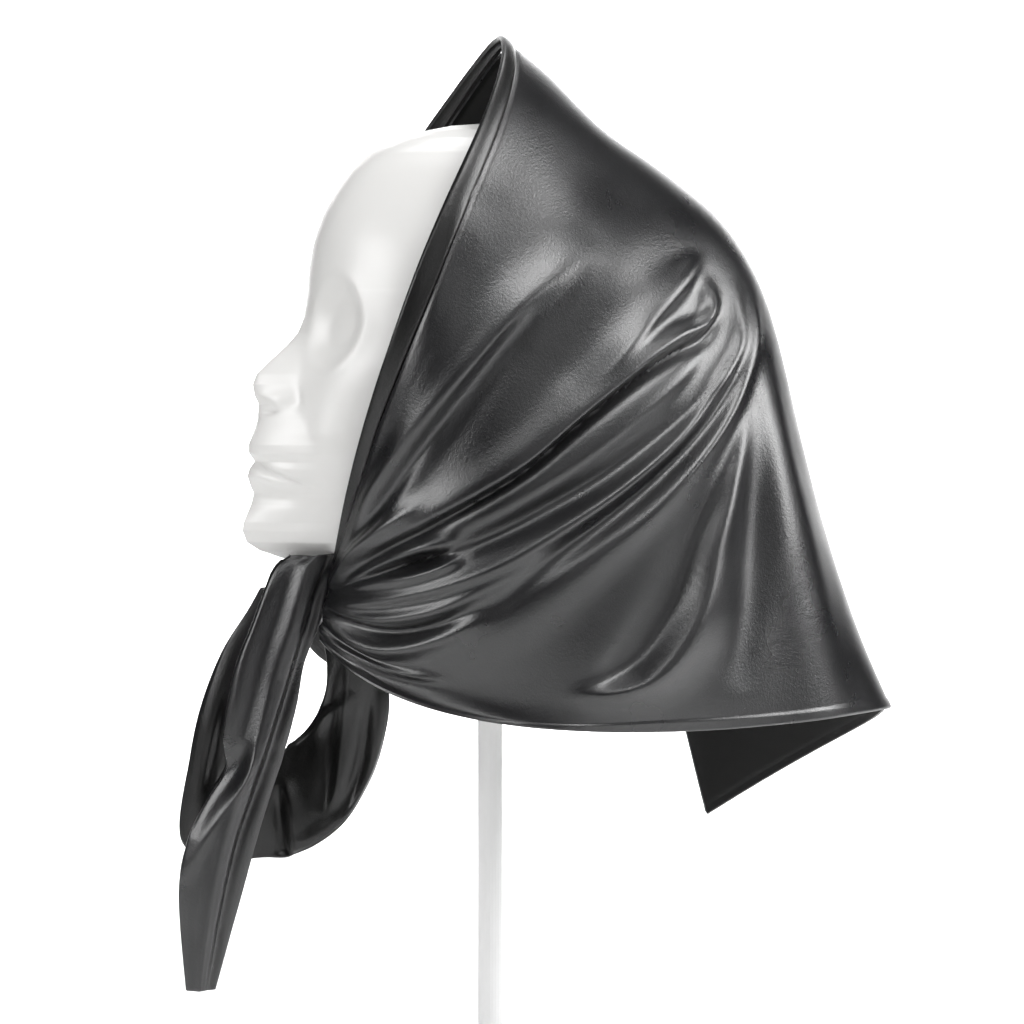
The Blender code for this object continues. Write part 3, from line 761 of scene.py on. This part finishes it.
# Its folds and those of the slack loop, drawn as those of the hood are.
TAIL_DRAWN = """
fold        x    y  height above below crest
ridge      325  552   1.4    7     5   2.0
ridge      309  590   1.8    9     5   2.0
ridge      301  619   2.0   10     5   2.0
ridge      285  675   2.2   11     5   2.0
ridge      266  734   2.2   11     5   2.0
ridge      248  789   2.2   11     5   2.0
ridge      230  842   2.2   11     5   2.0
ridge      216  907   1.8   10     5   2.0
ridge      202  991   1.4    8     5   2.0
crease     331  560  -1.0    3     4   1.8
crease     317  592  -1.8    3     5   1.8
crease     309  621  -2.4    3     6   1.8
crease     293  677  -2.6    3     6   1.8
crease     274  736  -2.6    3     6   1.8
crease     256  791  -2.6    3     6   1.8
crease     238  844  -2.4    3     6   1.8
crease     223  909  -1.8    3     5   1.8
crease     208  991  -1.2    3     4   1.8
left_side  284  566   0.0    5     9   1.8
left_side  262  600   1.4    5    10   1.8
left_side  245  650   1.8    6    10   1.8
left_side  235  700   1.6    6    10   1.8
left_side  229  740   0.0    6    10   1.8
lap        277  680   0.0    8    10   1.6
lap        270  722   1.4    9     8   1.5
lap        256  762   2.6   10     7   1.4
lap        226  804   3.0   10     7   1.4
lap        205  838   2.8    9     8   1.4
lap        190  864   1.6    7     8   1.5
lap        180  884   0.0    6     8   1.6
lap_dark   250  742   0.0    8     6   2.0
lap_dark   232  774  -2.4    9     6   2.0
lap_dark   210  806  -2.4    9     6   2.0
lap_dark   192  838   0.0    7     5   2.0
"""
LOOP_DRAWN = """
fold         x    y  height above below crest
strand      240  620   0.0   10     8   1.8
strand      222  668   1.8   12    10   1.8
strand      210  722   3.0   12    10   1.7
strand      204  760   2.4   11    10   1.7
strand      198  800   1.8   10    10   1.8
strand      194  840   0.0    8    10   1.8
strand_dip  230  690   0.0    8     8   2.0
strand_dip  222  735  -2.0    8     8   2.0
strand_dip  214  772  -2.6    8     8   2.0
strand_dip  206  805   0.0    8     8   2.0
near_line   345  664   0.0    3    10   1.5
near_line   342  700   2.2    3    12   1.5
near_line   339  745   2.6    4    14   1.5
near_line   335  789   2.2    4    14   1.5
near_line   326  820   0.0    4    12   1.5
inner_dark  342  650   0.0    6     5   2.0
inner_dark  337  688  -2.2    7     4   2.0
inner_dark  333  735  -2.4   10     4   2.0
inner_dark  329  785  -2.0   12     4   2.0
inner_dark  322  812   0.0   10     4   2.0
corner      352  690   0.0    3     7   1.6
corner      338  706   1.8    3     8   1.6
corner      318  720   2.2    3     9   1.6
corner      300  738   1.4    4     9   1.6
corner      284  752   0.0    4     8   1.6
far_crease  371  680   0.0    6     4   1.8
far_crease  368  715  -2.6    8     4   1.8
far_crease  363  760  -3.0    9     4   1.8
far_crease  351  797  -2.6    9     4   1.8
far_crease  334  822   0.0    8     4   1.8
outer_line  380  690   0.0    5     6   1.6
outer_line  377  735   2.4    6     7   1.6
outer_line  366  778   2.6    7     8   1.6
outer_line  343  813   2.2    7     9   1.6
outer_line  312  838   1.4    7     9   1.7
outer_line  280  848   0.0    7     8   1.7
tuck        283  776   0.0    4     6   1.5
tuck        288  800   2.2    3     9   1.5
tuck        292  828   2.6    3    10   1.5
tuck        295  856   1.6    3    10   1.5
tuck_dark   279  784   0.0    7     3   1.9
tuck_dark   281  808  -2.6    8     3   1.9
tuck_dark   284  834  -2.8    8     3   1.9
tuck_dark   287  858  -1.6    8     3   1.9
"""


def through(points, u):
    """Smooth curve through rows of points (..., n, 3) at shares u of its count."""
    n = points.shape[-2]
    x = np.clip(u, 0, 1) * (n - 1)
    i = np.clip(np.floor(x).astype(int), 0, n - 2)
    f = (x - i)[:, None]
    p0, p1 = points[..., np.clip(i - 1, 0, None), :], points[..., i, :]
    p2, p3 = points[..., i + 1, :], points[..., np.clip(i + 2, None, n - 1), :]
    m1, m2 = (p2 - p0) / 2, (p3 - p1) / 2
    return ((2 * f**3 - 3 * f**2 + 1) * p1 + (f**3 - 2 * f**2 + f) * m1
            + (3 * f**2 - 2 * f**3) * p2 + (f**3 - f**2) * m2)


def make_tail():
    count, fine = 280, 120
    r = along(TAIL, np.linspace(0, 1, count))
    z, left, ridge, right, out = (r[c][:, None] for c in ("z", "left", "ridge", "right", "out"))
    span = right - left
    k = np.minimum(1.0, span / 24.0)
    wrap = np.clip((248.0 - z) / 45.0, 0.25, 1.0)
    shape = [(-6.5 - 11.5 * wrap, left + 0.34 * wrap * span), (-6.5 - 10.6 * wrap, left + 0.24 * wrap * span),
             (-6.5 - 8.0 * wrap, left + 0.12 * wrap * span), (-6.5 - 4.2 * wrap, left + 0.03 * span),
             (-7.6 + 0 * z, left + 0.0 * span), (-6.4 + 0 * z, left + 0.04 * span),
             (-4.9 + 0 * z, left + 0.25 * (ridge - left)), (-3.4 + 0 * z, left + 0.5 * (ridge - left)),
             (-0.8 + 0 * z, left + 0.78 * (ridge - left)), (-1.9 + 0 * z, ridge),
             (-3.0 + 0 * z, ridge + 0.45 * (right - ridge)), (-4.2 + 0 * z, ridge + 0.8 * (right - ridge)),
             (-5.4 + 0 * z, right)]
    pts = np.stack([np.stack([out + k * dx, y + 0 * z, z + 0 * y], -1)[:, 0] for dx, y in shape], 1)
    p = through(pts, np.linspace(0, 1, fine))
    c = np.linspace(0, 1, fine)[None]
    p[..., 0] += drawn_relief(TAIL_DRAWN, p) * k * smooth((c - 0.30) / 0.12)
    p = spread(p, 1)
    v, f, kind = grid_shell(p, np.broadcast_to(1.5 * k, (count, fine)), (0, -122, 150))
    return new_object("tail_front_cloth", v, f, [outside, inside], (kind == 1).astype(int))


# ---- the slack loop -----------------------------------------------------------
LOOP = table("""
 in_y   in_z  out_y  out_z   out
-106.4  236.0 -112.0  236.0   3.0
-107.6  221.0 -118.0  224.5   0.0
-107.5  203.8 -129.3  205.9  -4.0
-105.2  179.9 -138.6  181.4  -6.0
-106.0  164.1 -143.9  156.4  -7.0
-103.1  159.3 -148.3  118.1  -7.0
 -99.8  158.2 -131.2  106.0  -7.0
 -97.1  160.6 -112.7  107.7  -6.0
 -93.3  163.3  -94.5  109.8  -3.0
 -88.3  168.8  -74.9  122.6   1.0
 -83.8  177.7  -63.1  140.8   5.0
 -81.2  188.0  -56.7  158.3   9.0
 -81.6  200.2  -53.5  179.5  12.5
 -83.1  209.8  -55.3  199.6  14.0
""")

def make_loop():
    count, fine = 420, 90
    r = along(LOOP, np.linspace(0, 1, count))
    c = np.linspace(0, 1, fine)[None] * np.ones(count)[:, None]
    inner = np.stack([r["out"], r["in_y"], r["in_z"]], -1)[:, None]
    outer = np.stack([r["out"], r["out_y"], r["out_z"]], -1)[:, None]
    p = inner * (1 - c[..., None]) + outer * c[..., None]
    width = np.linalg.norm(inner - outer, axis=-1)
    p[..., 0] += np.minimum(0.16 * width, 4.5) * np.sin(np.pi * c)
    scale = np.clip(width / 40.0, 0.2, 1.0)
    s = np.linspace(0, 1, count)[:, None]
    p[..., 0] += (c - 0.5) * 0.24 * width * (smooth((s - 0.5) / 0.2) - 0.5 * (1 - smooth((s - 0.3) / 0.2)))
    p[..., 0] += drawn_relief(LOOP_DRAWN, p) * scale * smooth(c / 0.05) * smooth((1 - c) / 0.05)
    p = spread(p, 1)
    v, f, kind = grid_shell(p, 1.6, (-100, -105, 160))
    # The loop takes the less shiny leather copy: painted shade for the hood's shadow over it
    return new_object("slack_loop_cloth", v, f, [shaded_face, inside], (kind == 1).astype(int))


# ---- the knot -------------------------------------------------------------------
def make_knot():
    """A rounded half knot: one closed lump with pleat grooves and a groove winding round it like a band."""
    rings, segs = 90, 150
    lat = np.linspace(0.0, math.pi, rings)[:, None]
    lon = np.linspace(0.0, 2 * math.pi, segs, endpoint=False)[None]
    d = np.stack([np.cos(lat) + 0 * lon, np.sin(lat) * np.cos(lon), np.sin(lat) * np.sin(lon)], -1)
    q = np.sign(d) * np.abs(d) ** np.array([0.75, 1, 1])
    wave = 0.035 * np.cos(3 * lat + 2 * lon) + 0.02 * np.cos(7 * lat + 5 * lon)
    band = 0.05 * np.exp(-((np.sin(lat * 1.0 + lon * 0.5)) / 0.25) ** 2)
    groove = 1 + (wave - band) * np.sin(lat) ** 0.5
    p = np.array([0.0, -91.5, 230.3]) + np.array([18.6, 11.6, 15.9]) * q * np.stack([1 + 0 * groove, groove, groove], -1)
    ids = np.arange(rings * segs).reshape(rings, segs)
    ids[0], ids[-1] = ids[0, 0], ids[-1, 0]
    ids = np.concatenate([ids, ids[:, :1]], 1)
    faces = [[v for i, v in enumerate(f) if v != f[i - 1]] for f in grid_faces(ids).tolist()]
    faces = [f for f in faces if len(f) > 2]
    return new_object("knot_cloth", p.reshape(-1, 3), faces, [outside])


# ---- the display head -------------------------------------------------------------
# Level sections of the head without its nose and lips: front of the face, where
# it is widest, the back, half the width there and how pointed the front is.
SKULL = table("""
   z    front    wide   back   half  point
 186.0   -38.0   12.0   62.0   43.0  0.50
 215.0   -36.0   13.0   64.0   43.0  0.50
 240.0   -37.0   14.0   68.0   43.5  0.50
 246.5   -42.0   14.0   70.0   44.0  0.55
 249.6   -94.0   12.0   72.0   43.0  1.00
 253.8  -108.0   10.0   74.0   44.0  1.02
 257.9  -114.5    9.0   77.0   46.0  0.98
 263.4  -117.0    9.0   80.0   48.5  0.94
 267.4  -116.5    8.0   82.0   50.5  0.91
 275.4  -113.5    8.0   86.0   54.0  0.84
 283.0  -111.0    8.0   89.5   56.5  0.78
 293.0  -110.0    8.0   93.0   59.5  0.71
 300.0  -109.0    8.0   95.5   61.0  0.66
 309.0  -107.0    8.0   97.3   62.7  0.62
 318.0  -103.0    8.0   99.2   64.2  0.58
 328.0   -98.5    8.0  101.0   65.5  0.54
 340.0   -95.0    8.0  101.7   67.0  0.52
 350.0   -92.0    8.0  102.0   67.7  0.51
 360.0   -89.8    8.0  101.8   68.0  0.50
 373.7   -88.0    8.0  100.5   67.7  0.50
 385.8   -87.1    8.0   97.8   65.8  0.50
 399.3   -84.7    8.0   92.5   62.0  0.50
 412.8   -79.9    8.0   84.8   56.5  0.50
 424.3   -72.9    8.0   76.3   50.2  0.50
 433.8   -66.1    8.0   65.5   43.5  0.50
 442.1   -56.3    7.0   52.5   34.8  0.50
 447.0   -45.2    6.0   44.0   29.0  0.50
 451.2   -32.7    4.5   32.0   21.5  0.50
 454.0   -19.5    2.5   18.5   12.5  0.50
 455.4    -4.0    0.0    4.0    3.5  0.50
""")
# The middle line of the face, and how wide what stands out from it is there.
FACE = table("""
   z     front   spread
 249.6   -99.8   16.0
 253.8  -112.0   18.0
 257.9  -118.1   20.0
 263.4  -120.1   21.0
 267.4  -119.4   21.0
 275.4  -116.0   20.0
 280.9  -114.9   20.0
 283.6  -116.0   20.0
 288.9  -117.6   19.0
 292.3  -116.6   19.0
 295.7  -114.1   19.0
 299.7  -116.8   18.0
 303.8  -117.0   17.0
 309.1  -115.1   15.0
 315.8  -112.7   12.5
 322.6  -112.1   11.0
 326.6  -114.0   10.5
 332.0  -114.9    9.5
 336.7  -113.0    8.6
 343.4  -106.1    7.6
 350.1   -98.6    7.2
 356.2   -93.1    7.4
 364.3   -89.6    8.0
 373.7   -88.0    8.0
""")


def make_head():
    zs = np.unique(np.concatenate([np.linspace(186, 246, 14), np.linspace(246, 376, 300),
                                   np.linspace(376, 440, 60), 455.4 - 15.4 * np.linspace(1, 0, 40) ** 2]))
    half = 84
    th = np.linspace(0, 1, half + 1)
    th = math.pi * th * (0.42 + 0.58 * th)
    th = np.concatenate([-th[:0:-1], th[:-1]])
    r = {n: np.interp(zs, SKULL["z"], SKULL[n])[:, None] for n in SKULL}
    # round off the corners between the sections, but keep the crown
    for n in ("front", "wide", "back", "half", "point"):
        v = r[n][:, 0]
        for _ in range(14):
            w = v.copy()
            w[1:-1] = 0.25 * v[:-2] + 0.5 * v[1:-1] + 0.25 * v[2:]
            v = np.where(zs < 441, w, v)
        r[n] = v[:, None]
    sn, cs = np.sin(th)[None], np.cos(th)[None]
    fore = cs > 0
    x = np.sign(sn) * r["half"] * np.abs(sn) ** np.where(fore, 2 * r["point"], 1.0)
    y = r["wide"] - np.where(fore, r["wide"] - r["front"], r["back"] - r["wide"]) * cs
    z = zs[:, None] + 0 * x
    ax = np.abs(x)
    middle = np.interp(zs, FACE["z"], FACE["front"])[:, None]
    middle = np.where((zs >= 249.6)[:, None] & (zs <= 373.7)[:, None], middle, r["front"])
    sp = np.interp(zs, FACE["z"], FACE["spread"])[:, None]
    stand = r["front"] - middle
    h = stand * np.exp(-(ax / sp) ** 2 * 0.5 * 1.6)
    # wings of the nose, the crease above them and the nostrils
    h += 2.6 * np.exp(-((ax - 10.5) / 4.2) ** 2 - ((z - 324.5) / 4.6) ** 2)
    h -= 2.2 * np.exp(-((ax - 16.0 + 0.25 * (z - 324)) / 2.6) ** 2 - ((z - 325.5) / 6.0) ** 2)
    h -= 2.0 * np.exp(-((ax - 7.0) / 3.0) ** 2 - ((z - 319.0) / 1.8) ** 2)
    # the mouth: its line falls to the corners, with a lip above and one below
    line = 295.7 - 9.5 * np.clip(ax / 20.0, 0, 1.3) ** 1.3
    near = 1 - smooth((ax - 12.0) / 9.0)
    h -= 2.2 * np.exp(-((z - line) / 1.25) ** 2) * (1 - smooth((ax - 18.0) / 4.0)) * smooth((ax - 1.0) / 7.0)
    h += 1.3 * np.exp(-((z - line - 4.6) / 3.0) ** 2) * near * smooth((ax - 1.0) / 10.0)
    h += 1.5 * np.exp(-((z - line + 5.0) / 3.4) ** 2) * near * smooth((ax - 1.0) / 10.0)
    h -= 1.8 * np.exp(-((ax - 22.5) / 3.4) ** 2 - ((z - 284.5) / 3.6) ** 2)
    h -= 1.5 * np.exp(-((ax - 12.0) / 9.0) ** 2 - ((z - 279.0) / 3.4) ** 2)
    # the groove from the nose to the lip, and the fold beside the mouth
    h -= 0.9 * np.exp(-(ax / 2.6) ** 2 - ((z - 311.0) / 5.0) ** 2)
    h -= 2.0 * np.exp(-((ax - 21.0 - 0.20 * (322.0 - z)) / 5.5) ** 2 - ((z - 306.0) / 15.0) ** 2)
    h += 1.4 * np.exp(-((ax - 34.0) / 12.0) ** 2 - ((z - 300.0) / 22.0) ** 2)
    # eye sockets with no eyes, the brow over them and the cheekbones below
    ring = np.sqrt(((ax - 25.5) / 14.0) ** 2 + ((z - 359.5) / 21.0) ** 2)
    h -= 5.6 * (1 - smooth((ring - 0.40) / 0.75))
    h += 0.9 * np.exp(-((ring - 1.12) / 0.16) ** 2) * smooth((ax - 26.0) / 10.0)
    h += 2.0 * np.exp(-((ax - 42.0) / 14.0) ** 2 - ((z - 332.0) / 14.0) ** 2)
    h = np.where(fore, h * smooth(cs / 0.35), 0)
    y = y - h
    p = np.stack([x, y, z], -1)
    n, m = x.shape
    ids = np.arange(n * m).reshape(n, m)
    ids = np.concatenate([ids, ids[:, :1]], 1)
    faces = grid_faces(ids).tolist()
    verts = np.concatenate([p.reshape(-1, 3), [[0.0, 0.0, 455.5]], [[0.0, 12.0, 186.0]]])
    top, bottom = n * m, n * m + 1
    for j in range(m):
        k = (j + 1) % m
        faces.append([int(ids[-1, j]), int(ids[-1, k]), top])
        faces.append([int(ids[0, k]), int(ids[0, j]), bottom])
    return new_object("head_moulded", verts, faces, [gloss_white], smooth_angle=60)


pieces = {"tail_front": make_tail(), "slack_loop": make_loop(), "knot": make_knot(), "head_form": make_head()}
for node, ob in pieces.items():
    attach(ob, "root")
    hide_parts(node)

for node, mat in (("stand_rod", paint_white), ("stand_base", paint_white)):
    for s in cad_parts[node].material_slots:
        s.material = mat

# ---- floor, light and camera ---------------------------------------------------
sweep = bpy.data.meshes.new("floor_sweep")
profile = []
for i in range(40):
    s = i / 39
    if s < 0.45:
        profile.append((0.9 - 2.1 * s / 0.45, 0.0))
    elif s < 0.75:
        th = (s - 0.45) / 0.30 * math.pi / 2
        profile.append((-1.2 - 0.9 * math.sin(th), 0.9 - 0.9 * math.cos(th)))
    else:
        profile.append((-2.1, 0.9 + 2.4 * (s - 0.75) / 0.25))
az = math.radians(75)
back = Vector((math.sin(az), -math.cos(az), 0))
right = Vector((math.cos(az), math.sin(az), 0))
vs, fs = [], []
for i, (d, z) in enumerate(profile):
    for j in (-1.1, 1.1):
        q = back * d + right * j
        vs.append((q.x, q.y, z - 0.0005))
    if i:
        k = 2 * i
        fs.append((k - 2, k - 1, k + 1, k))
sweep.from_pydata(vs, [], fs)
sweep.shade_smooth()
floor = bpy.data.objects.new("floor_sweep", sweep)
bpy.context.scene.collection.objects.link(floor)
floor.data.materials.append(plain("floor_white", (0.93, 0.93, 0.93), 0.7, 0.0, 0.02))

world = bpy.data.worlds.new("studio")
world.use_nodes = True
world.node_tree.nodes["Background"].inputs["Color"].default_value = (1, 1, 1, 1)
world.node_tree.nodes["Background"].inputs["Strength"].default_value = 0.03
bpy.context.scene.world = world
bpy.context.scene.view_settings.view_transform = "Standard"


def softbox(name, at, aim, size, power):
    li = bpy.data.lights.new(name, "AREA")
    li.shape = "RECTANGLE"
    li.size, li.size_y = size
    li.energy = power
    ob = bpy.data.objects.new(name, li)
    ob.location = at
    ob.rotation_euler = (Vector(aim) - Vector(at)).to_track_quat("-Z", "Y").to_euler()
    bpy.context.scene.collection.objects.link(ob)
    return ob


middle = (0.0, 0.02, 0.32)
def spot_at(d, side, z):
    """A place seen from the camera: towards it, to its right, and height."""
    q = back * d + right * side
    return (q.x, q.y, z)


softbox("key_left", spot_at(0.70, -0.95, 0.72), middle, (0.6, 0.6), 7.0)
softbox("key_right", spot_at(0.65, 0.50, 1.30), middle, (0.5, 0.5), 8.2)
softbox("side_right", spot_at(0.15, 1.35, 0.80), middle, (0.7, 0.8), 17.0)
softbox("front_fill", spot_at(1.70, 0.85, 0.70), middle, (1.2, 1.0), 2.0)
softbox("key_middle", spot_at(1.00, -0.25, 1.20), middle, (0.4, 0.4), 2.4)
softbox("top", (-0.05, 0.15, 1.45), middle, (0.7, 0.7), 2.5)
for side in (-1, 1):
    wash = softbox("backdrop_wash", spot_at(-0.75, 0.85 * side, 0.95), spot_at(-2.1, 0.35 * side, 0.65), (0.8, 0.8), 26)
    wash.data.spread = math.radians(110)
wash = softbox("floor_wash", spot_at(-0.85, 0, 1.35), spot_at(-0.90, 0, 0.0), (0.7, 1.2), 8)
wash.data.spread = math.radians(70)

cam = bpy.data.cameras.new("view")
cam.sensor_width = 36.0
cam.lens = LENS
camera = bpy.data.objects.new("view", cam)
camera.location = EYE
camera.rotation_euler = (Vector(AIM) - camera.location).to_track_quat("-Z", "Y").to_euler()
bpy.context.scene.collection.objects.link(camera)
bpy.context.scene.camera = camera
